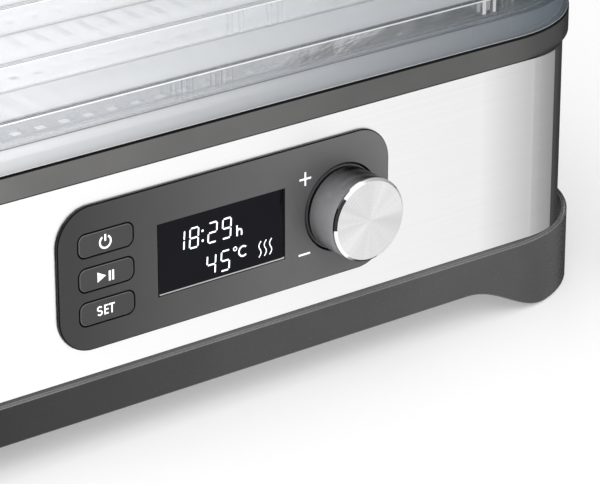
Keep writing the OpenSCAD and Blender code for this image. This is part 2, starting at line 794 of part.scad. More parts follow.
// places a tray's pieces: every other tray is turned about
module tray_place(i) placed() translate([0, 0, tray_z + (i - 1) * tray_pitch])
    rotate(i % 2 == 0 ? 180 : 0) children();

module tray(i) color([0.85, 0.9, 0.93, 0.35]) tray_place(i) {
    rise(0, band_h) difference() {
        rim_plan(tray_in);
        rim_plan(tray_in + tray_t);
    }
    rise(band_h - tray_t, tray_t) difference() {
        rim_plan(tray_in + eps);
        rim_plan(floor_in);
    }
    rise(band_h - eps, flange_top + lip_h - band_h + eps) difference() {
        rim_plan(wall_out);
        rim_plan(wall_out + tray_t);
    }
    rise(flange_top - flange_t, flange_t) difference() {
        rim_plan(tray_in);
        rim_plan(wall_out + eps);
    }
    posts(band_h - eps, flange_top - flange_t - band_h + 2 * eps);
}
module tray_1() tray(1);
module tray_2() tray(2);
module tray_3() tray(3);
module tray_4() tray(4);
module tray_5() tray(5);

module slatted_floor(i) color([0.85, 0.9, 0.93, 0.35]) tray_place(i) difference() {
    rise(band_h - tray_t, tray_t) rim_plan(floor_in);
    floor_slots(band_h - tray_t / 2);
}
module floor_1() slatted_floor(1);
module floor_2() slatted_floor(2);
module floor_3() slatted_floor(3);
module floor_4() slatted_floor(4);
module floor_5() slatted_floor(5);

module lid() color([0.85, 0.9, 0.93, 0.35]) placed() difference() {
    union() {
        rise(lid_z, lid_h) difference() {
            rim_plan(tray_in);
            rim_plan(tray_in + tray_t);
        }
        rise(lid_top - tray_t, tray_t) rim_plan(tray_in + eps);
    }
    for (s = [-1, 1], i = [0:vents - 1]) translate([(i - (vents - 1) / 2) * vent_pitch, s * vent_y, lid_top])
        cube([vent_w, vent_l, 3 * tray_t], center = true);
    for (s = [-1, 1]) stud([s * grip_screw_x, 0], lid_z, thread_r + fit_gap, lid_h + cut);
}

module lid_handle() color("#343435") placed() difference() {
    translate([0, 0, lid_top]) rotate([90, 0, 0]) linear_extrude(grip_d, center = true) difference() {
        intersection() {
            plan(grip_w, 2 * grip_h, 9);
            translate([0, grip_h]) square([grip_w + 2, 2 * grip_h], center = true);
        }
        plan(grip_w - 2 * grip_leg, 2 * (grip_h - grip_t), 5);
    }
    for (s = [-1, 1])
        stud([s * grip_screw_x, 0], lid_top - cut, thread_r + press_gap, grip_screw_in + 2 * cut);
}

module lid_screws() color("#b0b0b0") placed() for (s = [-1, 1]) {
    stud([s * grip_screw_x, 0], lid_top - tray_t - eps, thread_r, tray_t + grip_screw_in + eps);
    stud([s * grip_screw_x, 0], lid_top - tray_t - head_t, head_r, head_t);
}

base_housing();
base_pan();
foot_pads();
stainless_panel();
panel_bezel();
display_window();
lcd_module();
power_button();
play_button();
set_button();
knob_body();
knob_cap();
encoder_shaft();
encoder_body();
control_board();
tact_switches();
board_screws();
air_deck();
deck_screws();
drip_cap();
fan_duct();
motor_bracket();
fan_motor();
fan_shaft();
fan_impeller();
heater_frame();
heater_coil();
thermal_cutout();
air_sensor();
intake_grille();
power_board();
power_parts();
power_screws();
pan_screws();
cord_inlet();
tray_1();
tray_2();
tray_3();
tray_4();
tray_5();
floor_1();
floor_2();
floor_3();
floor_4();
floor_5();
lid();
lid_handle();
lid_screws();
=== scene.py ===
import json
import math

import bmesh
import bpy
import numpy as np
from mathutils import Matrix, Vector


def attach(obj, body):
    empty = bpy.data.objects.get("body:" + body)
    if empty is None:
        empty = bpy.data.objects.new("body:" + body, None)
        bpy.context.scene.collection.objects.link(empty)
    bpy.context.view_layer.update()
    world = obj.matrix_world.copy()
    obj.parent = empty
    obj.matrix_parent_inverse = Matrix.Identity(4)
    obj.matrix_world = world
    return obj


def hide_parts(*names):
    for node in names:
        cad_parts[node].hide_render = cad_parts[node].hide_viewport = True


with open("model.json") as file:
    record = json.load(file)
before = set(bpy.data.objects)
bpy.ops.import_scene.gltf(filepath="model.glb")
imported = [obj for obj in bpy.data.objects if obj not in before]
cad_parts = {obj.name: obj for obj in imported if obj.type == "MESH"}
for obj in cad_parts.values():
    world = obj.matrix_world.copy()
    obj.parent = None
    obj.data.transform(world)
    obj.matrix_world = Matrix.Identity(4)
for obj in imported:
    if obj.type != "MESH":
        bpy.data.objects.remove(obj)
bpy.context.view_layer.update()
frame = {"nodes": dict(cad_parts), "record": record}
nodes = frame["nodes"]
# sizes of the pieces are in mm, from the frame's origin; a depth is measured from the steel face, and what
# stands in front of it has a depth below 0
mm = 0.001
steelY = -141.7 * mm
print("stage 1: frame loaded,", len(nodes), "nodes")


def nodeTools(tree):
    # empties a node tree; returns a node adder, whose values go to a socket or else to a setting, and a link
    # maker
    tree.nodes.clear()

    def add(kind, **values):
        node = tree.nodes.new(kind)
        for key, value in values.items():
            if key in node.inputs:
                node.inputs[key].default_value = value
            else:
                setattr(node, key, value)
        return node

    def link(source, target):
        tree.links.new(source, target)

    return add, link


def newMaterial(name):
    # a bare material with its output node; returns material, node adder, link maker, output
    mat = bpy.data.materials.new(name)
    mat.use_nodes = True
    add, link = nodeTools(mat.node_tree)
    return mat, add, link, add("ShaderNodeOutputMaterial")


def mixShaders(add, link, share, first, second):
    # the first shader, and the second by a share that is a number or a socket
    mix = add("ShaderNodeMixShader")
    if isinstance(share, float):
        mix.inputs[0].default_value = share
    else:
        link(share, mix.inputs[0])
    link(first.outputs[0], mix.inputs[1])
    link(second.outputs[0], mix.inputs[2])
    return mix


def stretchedNoise(add, link, scale, stretch=(1, 1, 1), detail=4.0, roughness=0.55):
    # noise on object coordinates, stretched by a mapping node
    coords = add("ShaderNodeTexCoord")
    mapping = add("ShaderNodeMapping")
    mapping.inputs["Scale"].default_value = stretch
    noise = add("ShaderNodeTexNoise", Scale=scale, Detail=detail, Roughness=roughness)
    link(coords.outputs["Object"], mapping.inputs["Vector"])
    link(mapping.outputs["Vector"], noise.inputs["Vector"])
    return noise.outputs["Fac"]


def spread(add, link, source, low, high, fromLow=0.3, fromHigh=0.7):
    # maps a grey value to the range low..high
    node = add("ShaderNodeMapRange")
    node.inputs["From Min"].default_value = fromLow
    node.inputs["From Max"].default_value = fromHigh
    node.inputs["To Min"].default_value = low
    node.inputs["To Max"].default_value = high
    link(source, node.inputs["Value"])
    return node.outputs["Result"]


def twoTone(add, link, source, dark, light):
    # mixes two colours by a grey value
    mix = add("ShaderNodeMix", data_type="RGBA")
    mix.inputs[6].default_value = (*dark, 1)
    mix.inputs[7].default_value = (*light, 1)
    link(source, mix.inputs[0])
    return mix.outputs[2]


def paintShadeAcross(add, link, tone, factors, places, mirrored=False):
    # paints light and shade into a tone: darker or lighter with the place along x, or with the distance from
    # x = 0 where mirrored
    coords = add("ShaderNodeTexCoord")
    place = add("ShaderNodeSeparateXYZ")
    link(coords.outputs["Object"], place.inputs[0])
    x = place.outputs["X"]
    if mirrored:
        size = add("ShaderNodeMath", operation="ABSOLUTE")
        link(x, size.inputs[0])
        x = size.outputs[0]
    scaled = add("ShaderNodeVectorMath", operation="SCALE")
    link(tone, scaled.inputs[0])
    link(spread(add, link, x, *factors, *places), scaled.inputs["Scale"])
    return scaled.outputs[0]


def bumpFrom(add, link, height, strength, distance):
    # a surface normal tilted by a grey value; distance is the height of the relief in metres
    bump = add("ShaderNodeBump")
    bump.inputs["Strength"].default_value = strength
    bump.inputs["Distance"].default_value = distance
    link(height, bump.inputs["Height"])
    return bump.outputs["Normal"]


def mouldedPlastic(name, colour, shade=0.12, rough=(0.34, 0.44), patches=22.0, grain=1400.0, bump=0.12,
                   grainHeight=0.0002, specular=0.5, paintedLightDrift=None, places=(-0.12, 0.1), ends=None):
    # satin moulded plastic: slow tone change in patches, painted light that changes the tone from left to
    # right, painted shade that changes the tone towards both ends, and a fine grain
    mat, add, link, out = newMaterial(name)
    slow = stretchedNoise(add, link, patches, detail=3.0)
    fine = stretchedNoise(add, link, grain, detail=2.0)
    shader = add("ShaderNodeBsdfPrincipled")
    dark = [c * (1 - shade) for c in colour]
    light = [c * (1 + shade) for c in colour]
    tone = twoTone(add, link, spread(add, link, slow, 0, 1), dark, light)
    if paintedLightDrift:
        tone = paintShadeAcross(add, link, tone, paintedLightDrift, places)
    if ends:
        tone = paintShadeAcross(add, link, tone, ends["tones"], ends["places"], True)
    link(tone, shader.inputs["Base Color"])
    link(spread(add, link, fine, *rough), shader.inputs["Roughness"])
    link(bumpFrom(add, link, fine, bump, grainHeight), shader.inputs["Normal"])
    shader.inputs["Specular IOR Level"].default_value = specular
    link(shader.outputs[0], out.inputs["Surface"])
    return mat


def brushedMetal(name, colour, along=(4, 400, 900), rough=(0.3, 0.42), bump=0.08, lineHeight=0.0001,
                 aniso=0.0, turn=0.0, tone=0.04, ends=None):
    # metal with fine lines: noise drawn out along one axis sets tone, roughness and bump; painted shade may
    # darken it towards its ends
    mat, add, link, out = newMaterial(name)
    lines = stretchedNoise(add, link, 1.0, along, detail=5.0, roughness=0.7)
    shader = add("ShaderNodeBsdfPrincipled", Metallic=1.0)
    dark = [c * (1 - tone) for c in colour]
    light = [min(1.0, c * (1 + tone)) for c in colour]
    metalTone = twoTone(add, link, spread(add, link, lines, 0, 1), dark, light)
    if ends:
        metalTone = paintShadeAcross(add, link, metalTone, ends["tones"], ends["places"], True)
    link(metalTone, shader.inputs["Base Color"])
    link(spread(add, link, lines, *rough), shader.inputs["Roughness"])
    link(bumpFrom(add, link, lines, bump, lineHeight), shader.inputs["Normal"])
    shader.inputs["Anisotropic"].default_value = aniso
    shader.inputs["Anisotropic Rotation"].default_value = turn
    link(shader.outputs[0], out.inputs["Surface"])
    return mat


def spunMetal(name, colour, centre, rings=900.0, sectorScale=1.4, sectorTones=(0.9, 1.07), rough=(0.26, 0.31),
              bump=0.02, ringHeight=0.0001, aniso=0.75):
    # turned face: fine rings about the axis, painted reflections as soft lighter and darker sectors by angle,
    # and reflections drawn out along the rings
    mat, add, link, out = newMaterial(name)
    coords = add("ShaderNodeTexCoord")
    away = add("ShaderNodeVectorMath", operation="SUBTRACT")
    away.inputs[1].default_value = centre
    link(coords.outputs["Object"], away.inputs[0])
    flat = add("ShaderNodeVectorMath", operation="MULTIPLY")
    flat.inputs[1].default_value = (1, 0, 1)
    link(away.outputs[0], flat.inputs[0])
    radius = add("ShaderNodeVectorMath", operation="LENGTH")
    link(flat.outputs[0], radius.inputs[0])
    ringNoise = add("ShaderNodeTexNoise", Scale=rings, Detail=3.0)
    ringNoise.noise_dimensions = "1D"
    link(radius.outputs["Value"], ringNoise.inputs["W"])
    parts = add("ShaderNodeSeparateXYZ")
    link(flat.outputs[0], parts.inputs[0])
    angle = add("ShaderNodeMath", operation="ARCTAN2")
    link(parts.outputs["Z"], angle.inputs[0])
    link(parts.outputs["X"], angle.inputs[1])
    paintedSectors = add("ShaderNodeTexNoise", Scale=sectorScale, Detail=2.0)
    paintedSectors.noise_dimensions = "1D"
    link(angle.outputs[0], paintedSectors.inputs["W"])
    shader = add("ShaderNodeBsdfPrincipled", Metallic=1.0)
    dark, light = ([min(1.0, c * share) for c in colour] for share in sectorTones)
    sectorTone = twoTone(add, link, spread(add, link, paintedSectors.outputs["Fac"], 0, 1), dark, light)
    link(sectorTone, shader.inputs["Base Color"])
    link(spread(add, link, ringNoise.outputs["Fac"], *rough), shader.inputs["Roughness"])
    link(bumpFrom(add, link, ringNoise.outputs["Fac"], bump, ringHeight), shader.inputs["Normal"])
    tangent = add("ShaderNodeTangent", direction_type="RADIAL", axis="Y")
    link(tangent.outputs[0], shader.inputs["Tangent"])
    shader.inputs["Anisotropic"].default_value = aniso
    link(shader.outputs[0], out.inputs["Surface"])
    return mat


def clearMoulding(name, left, right, milk, band=None, places=(-0.13, 0.2), rough=0.04, ior=1.49,
                  tint=(0.985, 0.99, 0.992), clouds=45.0, ripples=0.15, rippleHeight=0.001, glowThrough=0.35):
    # clear moulding: light goes straight through it; where seen it is a see-through skin with a shine by
    # angle and a milky share, whose tone darkens from the left of the part to its right as painted light; a
    # band at the foot may be milkier
    mat, add, link, out = newMaterial(name)
    coords = add("ShaderNodeTexCoord")
    place = add("ShaderNodeSeparateXYZ")
    link(coords.outputs["Object"], place.inputs[0])
    cloud = stretchedNoise(add, link, clouds, (1, 1, 2), detail=3.0)
    ripple = bumpFrom(add, link, cloud, ripples, rippleHeight)
    across = spread(add, link, place.outputs["X"], 0, 1, *places)
    tone = twoTone(add, link, across, left, right)
    front = add("ShaderNodeBsdfDiffuse")
    back = add("ShaderNodeBsdfTranslucent")
    link(tone, front.inputs["Color"])
    link(tone, back.inputs["Color"])
    body = mixShaders(add, link, glowThrough, front, back)
    through = add("ShaderNodeBsdfTransparent", Color=(*tint, 1))
    shine = add("ShaderNodeBsdfGlossy")
    link(spread(add, link, cloud, rough, rough * 2.5), shine.inputs["Roughness"])
    fresnel = add("ShaderNodeFresnel", IOR=ior)
    link(ripple, fresnel.inputs["Normal"])
    link(ripple, shine.inputs["Normal"])
    clear = mixShaders(add, link, fresnel.outputs[0], through, shine)
    share = spread(add, link, place.outputs["Z"], band["milk"], milk, *band["ends"]) if band else milk
    look = mixShaders(add, link, share, clear, body)
    path = add("ShaderNodeLightPath")
    straight = add("ShaderNodeMath", operation="MAXIMUM")
    link(path.outputs["Is Shadow Ray"], straight.inputs[0])
    link(path.outputs["Is Diffuse Ray"], straight.inputs[1])
    unhindered = add("ShaderNodeBsdfTransparent", Color=(1, 1, 1, 1))
    surface = mixShaders(add, link, straight.outputs[0], look, unhindered)
    link(surface.outputs[0], out.inputs["Surface"])
    return mat


def litInk(name, colour, glow, speckle=900.0, uneven=0.92, rough=(0.4, 0.55)):
    # lit or printed lettering with a slight unevenness
    mat, add, link, out = newMaterial(name)
    fine = stretchedNoise(add, link, speckle, detail=2.0)
    shader = add("ShaderNodeBsdfPrincipled")
    tone = twoTone(add, link, spread(add, link, fine, 0, 1), [c * uneven for c in colour], colour)
    link(tone, shader.inputs["Base Color"])
    link(tone, shader.inputs["Emission Color"])
    shader.inputs["Emission Strength"].default_value = glow
    link(spread(add, link, fine, *rough), shader.inputs["Roughness"])
    link(shader.outputs[0], out.inputs["Surface"])
    return mat


knobX = 61.9
knobZ = 78.9
# finishes by the slot names of the plain nodes; tones and places say how a colour changes along x, in metres,
# as painted light and shade
materials = {
    # housing: painted light makes it lighter at the left, and painted shade takes it near black towards both
    # ends
    "housing_plastic": mouldedPlastic("housingPlastic", (0.062, 0.061, 0.06), paintedLightDrift=(1.6, 1.0),
                                      ends={"tones": (1.0, 0.04), "places": (0.15, 0.215)}),
    # skirt: painted shade makes it darker at the left and near black towards both ends
    "skirt_plastic": mouldedPlastic("skirtPlastic", (0.05, 0.05, 0.05), rough=(0.2, 0.28), specular=0.35,
                                    paintedLightDrift=(0.2, 1.0), ends={"tones": (1.0, 0.1), "places": (0.205, 0.222)}),
    "rubber": mouldedPlastic("padRubber", (0.02, 0.02, 0.02), rough=(0.6, 0.8), grain=700.0, bump=0.3),
    # steel: painted shade darkens it towards both ends, for its darker reflections round the corners
    "steel": brushedMetal("steelSheet", (0.93, 0.93, 0.935), aniso=0.6, turn=0.25, tone=0.025,
                          ends={"tones": (1.0, 0.66), "places": (0.143, 0.172)}),
    # panel: painted light makes it much lighter from left to right
    "panel_plastic": mouldedPlastic("panelPlastic", (0.03, 0.03, 0.031), rough=(0.34, 0.46), grain=2200.0,
                                    bump=0.3, specular=0.75, paintedLightDrift=(0.05, 3.3), places=(-0.08, 0.09)),
    "key_plastic": mouldedPlastic("keyPlastic", (0.022, 0.022, 0.023), rough=(0.36, 0.48), grain=2200.0,
                                  specular=0.6),
    # knob sleeve: painted light makes it lit at the left and near black at the right, and turns with the knob
    "knob_plastic": mouldedPlastic("knobPlastic", (0.1, 0.1, 0.103), rough=(0.2, 0.28), paintedLightDrift=(2.5, 0.02),
                                   places=(0.0425, 0.062)),
    "cap_metal": spunMetal("capMetal", (0.79, 0.79, 0.795), (knobX * mm, 0, knobZ * mm)),
    "plain_steel": brushedMetal("plainSteel", (0.55, 0.55, 0.56), along=(600, 600, 600)),
    "switch_plastic": mouldedPlastic("switchPlastic", (0.03, 0.03, 0.03)),
    "board": mouldedPlastic("boardMask", (0.02, 0.12, 0.05), rough=(0.25, 0.35), grain=300.0),
    "power_board": mouldedPlastic("paperBoard", (0.3, 0.18, 0.07), grain=500.0),
    "parts": mouldedPlastic("partsPlastic", (0.04, 0.045, 0.05)),
    # deck: painted light makes it lighter at the left
    "deck_plastic": mouldedPlastic("deckPlastic", (0.5, 0.515, 0.53), shade=0.05,
                                   paintedLightDrift=(1.5, 0.3), places=(-0.08, 0.12)),
    "duct_sheet": brushedMetal("ductSheet", (0.6, 0.6, 0.61), along=(30, 30, 700)),
    "motor_metal": mouldedPlastic("motorPaint", (0.12, 0.125, 0.13)),
    "fan_plastic": mouldedPlastic("fanPlastic", (0.035, 0.035, 0.037)),
    "mica": mouldedPlastic("micaSheet", (0.5, 0.38, 0.2), shade=0.25, grain=250.0),
    "heater_wire": brushedMetal("heaterWire", (0.3, 0.27, 0.25), along=(500, 500, 500)),
    "sensor": mouldedPlastic("sensorEpoxy", (0.7, 0.66, 0.58)),
    # tray at the bottom: painted light makes it pale at the left and dark at the right
    "clear_plastic": clearMoulding("clearTray", (0.82, 0.83, 0.85), (0.11, 0.135, 0.16), 0.1,
                                   {"ends": (0.1460, 0.1466), "milk": 0.55}),
    "grip_plastic": mouldedPlastic("gripPlastic", (0.05, 0.05, 0.05)),
    "lens": mouldedPlastic("displayLens", (0.004, 0.004, 0.006), rough=(0.05, 0.08), bump=0.0,
                           specular=0.07),
    "lcd": mouldedPlastic("displayBack", (0.012, 0.013, 0.016), rough=(0.2, 0.3)),
}
# the upper trays and the floors are milkier than the tray at the bottom; on all of them the tone falls from
# left to right as painted light, and the lowest floor is darker than the floors above it
clearUpper = clearMoulding("clearUpper", (0.84, 0.85, 0.87), (0.42, 0.45, 0.48), 0.4, places=(-0.1, 0.16))
clearFloor = clearMoulding("clearFloor", (0.9, 0.91, 0.925), (0.42, 0.45, 0.48), 0.7, places=(-0.07, 0.13))
lowFloor = clearMoulding("lowFloor", (0.5, 0.52, 0.555), (0.3, 0.33, 0.36), 0.8, places=(-0.07, 0.13))
# lines along the trays' edges: painted shade, dark on the tray at the bottom and soft above it, and painted
# highlights where they shine
paintedGapShade = clearMoulding("paintedGapShade", (0.16, 0.165, 0.18), (0.08, 0.09, 0.1), 0.75)
paintedSoftShade = clearMoulding("paintedSoftShade", (0.42, 0.43, 0.45), (0.15, 0.165, 0.18), 0.7)
paintedEdgeHighlight = clearMoulding("paintedEdgeHighlight", (1.0, 1.0, 1.0), (0.55, 0.58, 0.6), 0.85)
# lighter rounds on the skirt's edges: a painted highlight
skirtEdgeHighlight = mouldedPlastic("skirtEdgeHighlight", (0.14, 0.14, 0.14), rough=(0.25, 0.3))
# near black: painted shade on sides, rounds and gaps turned from the light
paintedShadeEdge = mouldedPlastic("paintedShadeEdge", (0.005, 0.005, 0.005), rough=(0.5, 0.6), specular=0.05)
# lighter rounds on the keys' edges: a painted highlight
keyEdgeHighlight = mouldedPlastic("keyEdgeHighlight", (0.12, 0.12, 0.12), rough=(0.3, 0.35))
# white print on the keys and the panel glows a little: a painted glow
whiteInk = litInk("whiteInk", (0.86, 0.87, 0.88), 0.35)
litDigits = litInk("litDigits", (0.9, 0.93, 0.96), 0.75)
# polished metal: the knob cap's own bright chamfer, and a painted highlight on the display trim's lower slope
polishedEdgeAndHighlight = brushedMetal("polishedEdgeAndHighlight", (0.85, 0.85, 0.855), along=(200, 200, 200), rough=(0.03, 0.06),
                            bump=0.0)

ownFinish = {"tray_1": materials["clear_plastic"], "floor_1": lowFloor}
for part in frame["record"]["subparts"]:
    name, slot = part["node"], part["material_slot"]
    upper = clearUpper if name.startswith("tray_") else clearFloor if name.startswith("floor_") else None
    nodes[name].data.materials.clear()
    nodes[name].data.materials.append(ownFinish.get(name) or upper or materials[slot])
slotOf = {part["node"]: part["material_slot"] for part in frame["record"]["subparts"]}
bodyOf = {name: body for body, names in frame["record"]["behaviour"]["bodies"].items() for name in names}
print("stage 2: materials on the plain nodes")


def finishMesh(mesh, sharp):
    # smooth shading that breaks at corners sharper than an angle in degrees
    mesh.shade_smooth()
    mesh.set_sharp_from_angle(angle=math.radians(sharp))


def addPiece(name, verts, faces, mats, body, replaced=(), sharp=35, faceMats=None):
    # closed mesh as a finished piece that rides on a body; faceMats gives each face's place in mats
    mesh = bpy.data.meshes.new(name)
    mesh.from_pydata(np.asarray(verts, float).tolist(), [], faces)
    if faceMats is not None:
        mesh.polygons.foreach_set("material_index", np.asarray(faceMats, np.int32))
    work = bmesh.new()
    work.from_mesh(mesh)
    bmesh.ops.recalc_face_normals(work, faces=work.faces)
    work.to_mesh(mesh)
    work.free()
    for mat in mats:
        mesh.materials.append(mat)
    finishMesh(mesh, sharp)
    piece = bpy.data.objects.new(name, mesh)
    bpy.context.scene.collection.objects.link(piece)
    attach(piece, body)
    if replaced:
        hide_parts(*replaced)
    return piece


edges = {
    # round: its steps, and the least angle of an edge that gets one; shading breaks at edges beyond sharp
    "steps": 2, "fromAngle": 40, "sharp": 30,
    # points closer than merge, in metres, become one, and faces within flat degrees become one
    "merge": 0.001 * mm, "flat": 0.6,
    # a face is a side where its direction has less than this share towards the front or the back
    "sideBelow": 0.5,
    # for each node: width of the round, finish of the round (a lighter painted highlight, or near-black
    # painted shade), finish of the sides (near-black painted shade)
    "rounds": {
        "base_housing": (0.35, None, None), "lid_handle": (0.35, None, None), "drip_cap": (0.35, None, None),
        "base_pan": (0.4, skirtEdgeHighlight, None), "panel_bezel": (0.5, paintedShadeEdge, paintedShadeEdge),
        "power_button": (0.2, keyEdgeHighlight, paintedShadeEdge), "play_button": (0.2, keyEdgeHighlight, paintedShadeEdge),
        "set_button": (0.2, keyEdgeHighlight, paintedShadeEdge), "stainless_panel": (0.12, None, None),
    },
}


def softened(nodeName, s):
    # copy of a node whose sharp edges get a small round, with a finish of its own for the round and the sides
    # where one is given, as painted highlight or painted shade; its triangles are merged into flat faces
    # first
    width, edgeMat, sideShadeMat = s["rounds"][nodeName]
    source = nodes[nodeName]
    mesh = source.data.copy()
    mesh.transform(source.matrix_world)
    work = bmesh.new()
    work.from_mesh(mesh)
    bmesh.ops.remove_doubles(work, verts=work.verts, dist=s["merge"])
    bmesh.ops.dissolve_limit(work, angle_limit=math.radians(s["flat"]), verts=work.verts, edges=work.edges)
    if sideShadeMat:
        for face in work.faces:
            face.material_index = 2 * int(abs(face.normal.y) < s["sideBelow"])
    work.to_mesh(mesh)
    work.free()
    mesh.name = nodeName + "Soft"
    mesh.materials.clear()
    mesh.materials.append(materials[slotOf[nodeName]])
    piece = bpy.data.objects.new(nodeName + "Soft", mesh)
    bpy.context.scene.collection.objects.link(piece)
    bevel = piece.modifiers.new("roundEdges", "BEVEL")
    bevel.width = width * mm
    bevel.segments = s["steps"]
    bevel.limit_method = "ANGLE"
    bevel.angle_limit = math.radians(s["fromAngle"])
    bevel.use_clamp_overlap = False
    if edgeMat:
        mesh.materials.append(edgeMat)
        bevel.material = 1
    if sideShadeMat:
        mesh.materials.append(sideShadeMat)
    finishMesh(mesh, s["sharp"])
    even = piece.modifiers.new("evenShading", "WEIGHTED_NORMAL")
    even.keep_sharp = True
    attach(piece, bodyOf[nodeName])
    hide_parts(nodeName)
    return piece


def gridFaces(rows, columns, wrapRows=False):
    # quads between neighbouring points of a grid whose columns close into a loop: point (i, j) is number
    # i times columns plus j
    i, j = np.meshgrid(np.arange(rows if wrapRows else rows - 1), np.arange(columns), indexing="ij")
    onward = (i + 1) % rows
    beside = (j + 1) % columns
    corners = [i * columns + j, i * columns + beside, onward * columns + beside, onward * columns + j]
    return np.stack(corners, -1).reshape(-1, 4).tolist()


def revolveFront(profile, x, z, steps):
    # turns a profile of (radius, depth) about an axis that points out of the front: across is x plus radius
    # times cosine of the turn, height is z plus radius times its sine; depth 0 is the steel face
    turn = np.linspace(0, 2 * np.pi, steps, endpoint=False)
    r, y = np.asarray(profile, float).T[:, :, None]
    points = np.empty((len(profile), steps, 3))
    points[..., 0] = x + r * np.cos(turn)
    points[..., 1] = y
    points[..., 2] = z + r * np.sin(turn)
    return points.reshape(-1, 3) * mm + (0, steelY, 0)


def roundedRect(w, h, r, inset, steps):
    # outline of a rounded rectangle about the origin, drawn in by inset, as an array of (u, v): a quarter
    # circle about each corner's middle, which lies half a side less inset and radius from the origin
    small = max(r - inset, 0.01)
    middle = np.array([w / 2 - inset - small, h / 2 - inset - small])
    quarter = np.linspace(0, np.pi / 2, steps + 1)
    sides = np.array([[1, 1], [-1, 1], [-1, -1], [1, -1]])
    angle = quarter + np.arange(4)[:, None] * np.pi / 2
    arc = np.stack([np.cos(angle), np.sin(angle)], -1) * small
    return (arc + (sides * middle)[:, None]).reshape(-1, 2)


def frontRings(x, z, rings):
    # stacks outlines at depths in front of the steel face, from a list of (outline, depth): an outline's
    # (u, v) goes to (x plus u, depth, z plus v)
    points = np.stack([np.column_stack([x + o[:, 0], np.full(len(o), d), z + o[:, 1]]) for o, d in rings])
    return points.reshape(-1, 3) * mm + (0, steelY, 0)


def flatShapes(shapes, back, front):
    # prisms over flat outlines (x, z) on the front: the same outline at two depths, two end faces, and a quad
    # from each side of the one to the same side of the other
    verts, faces, start = [], [], 0
    for shape in shapes:
        n = len(shape)
        verts.append(frontRings(0, 0, [(np.asarray(shape, float), back), (np.asarray(shape, float), front)]))
        faces += [list(range(start, start + n)), list(range(start + n, start + 2 * n))]
        faces += [[start + k, start + (k + 1) % n, start + n + (k + 1) % n, start + n + k] for k in range(n)]
        start += 2 * n
    return np.concatenate(verts), faces


def ribbon(points, width, taper=0.0):
    # outline of a stroke along a line of points: the line moved half its width to either side, at right
    # angles to its way, with ends cut square, or drawn to a point over the length of taper
    line = np.asarray(points, float)
    way = np.gradient(line, axis=0)
    side = np.column_stack([-way[:, 1], way[:, 0]]) / np.linalg.norm(way, axis=1)[:, None] * width / 2
    left, right = line + side, (line - side)[::-1]
    if not taper:
        return np.concatenate([left, right])
    unit = (line[-1] - line[0]) / np.linalg.norm(line[-1] - line[0]) * taper
    return np.concatenate([[line[0]], left[:1] + unit, left[-1:] - unit, [line[-1]], right[:1] - unit,
                           right[-1:] + unit])


def arc(x, z, r, start, end, steps=20):
    # points on an arc, angles in degrees: middle plus radius times the angle's cosine and sine
    t = np.radians(np.linspace(start, end, steps))
    return np.column_stack([x + r * np.cos(t), z + r * np.sin(t)])


digits = {
    "height": 9.1, "width": 4.4, "stroke": 0.72, "gap": 0.3, "slant": math.tan(math.radians(3.5)),
    "lit": {"1": "bc", "2": "abged", "4": "fgbc", "5": "afgcd", "8": "abcdefg", "9": "abcdfg"},
    # foot of each row, and its figures with their left edges
    "rows": [(79.9, [("1", -28.0), ("8", -20.6), ("2", -10.8), ("9", -3.3)]),
             (65.0, [("4", -11.7), ("5", -4.2)])],
    # place across, heights and size of the two dots, and the radius of their corners
    "colon": (-13.6, (81.9, 86.5), 1.05, 0.3),
    "depths": (-0.9, -0.95),
}


def digitStrokes(s):
    # seven-segment figures: each lit segment is a bar drawn to a point at both ends
    w, h, gap = s["width"], s["height"], s["gap"]
    corner = {"tl": (0, h), "tr": (w, h), "ml": (0, h / 2), "mr": (w, h / 2), "bl": (0, 0), "br": (w, 0)}
    ends = {"a": "tl tr", "b": "tr mr", "c": "mr br", "d": "bl br", "e": "ml bl", "f": "tl ml", "g": "ml mr"}
    shapes = []
    for base, figures in s["rows"]:
        for figure, left in figures:
            for segment in s["lit"][figure]:
                a, b = (np.array(corner[k], float) for k in ends[segment].split())
                pull = (b - a) / np.linalg.norm(b - a) * gap
                bar = ribbon([a + pull, b - pull], s["stroke"], taper=s["stroke"] / 3)
                bar[:, 0] += left + bar[:, 1] * s["slant"]
                bar[:, 1] += base
                shapes.append(bar)
    x, heights, size, radius = s["colon"]
    for z in heights:
        shapes.append(roundedRect(size, size, radius, 0.0, 3) + (x, z))
    return shapes


small = {
    "pen": 0.75, "hX": 4.7, "hZ": 79.3, "hHigh": 5.0, "hWide": 2.45, "hShoulder": 0.36,
    # degree sign and C: middle across, middle height and radius; the C is open to the right by twice cOpen
    # degrees; waves: place across of the first, lower and upper end
    "degree": (3.6, 73.6, 0.85), "degreePen": 0.45, "c": (7.9, 71.5, 2.3), "cOpen": 48,
    "waves": (16.4, 66.2, 73.6), "waveStep": 2.9, "waveSwing": 0.85, "waveLean": 1.2, "wavePen": 0.45,
}


def smallStrokes(s):
    # the h after the time, degree sign and C, and three rising heat lines
    x, z, pen = s["hX"], s["hZ"], s["pen"]
    shoulder = arc(x + s["hWide"] / 2, z + s["hHigh"] * s["hShoulder"], s["hWide"] / 2, 180, 0)
    shapes = [ribbon([(x, z), (x, z + s["hHigh"])], pen),
              ribbon(np.concatenate([shoulder, [(x + s["hWide"], z)]]), pen)]
    dx, dz, dr = s["degree"]
    cx, cz, cr = s["c"]
    shapes += [ribbon(arc(dx, dz, dr, start, start + 180), s["degreePen"]) for start in (0, 180)]
    shapes.append(ribbon(arc(cx, cz, cr, s["cOpen"], 360 - s["cOpen"], 30), pen))
    waveX, low, high = s["waves"]
    rise = np.linspace(0, 1, 24)
    for k in range(3):
        bend = waveX + k * s["waveStep"] + s["waveSwing"] * np.sin(rise * 2 * np.pi) + rise * s["waveLean"]
        shapes.append(ribbon(np.column_stack([bend, low + (high - low) * rise]), s["wavePen"]))
    return shapes


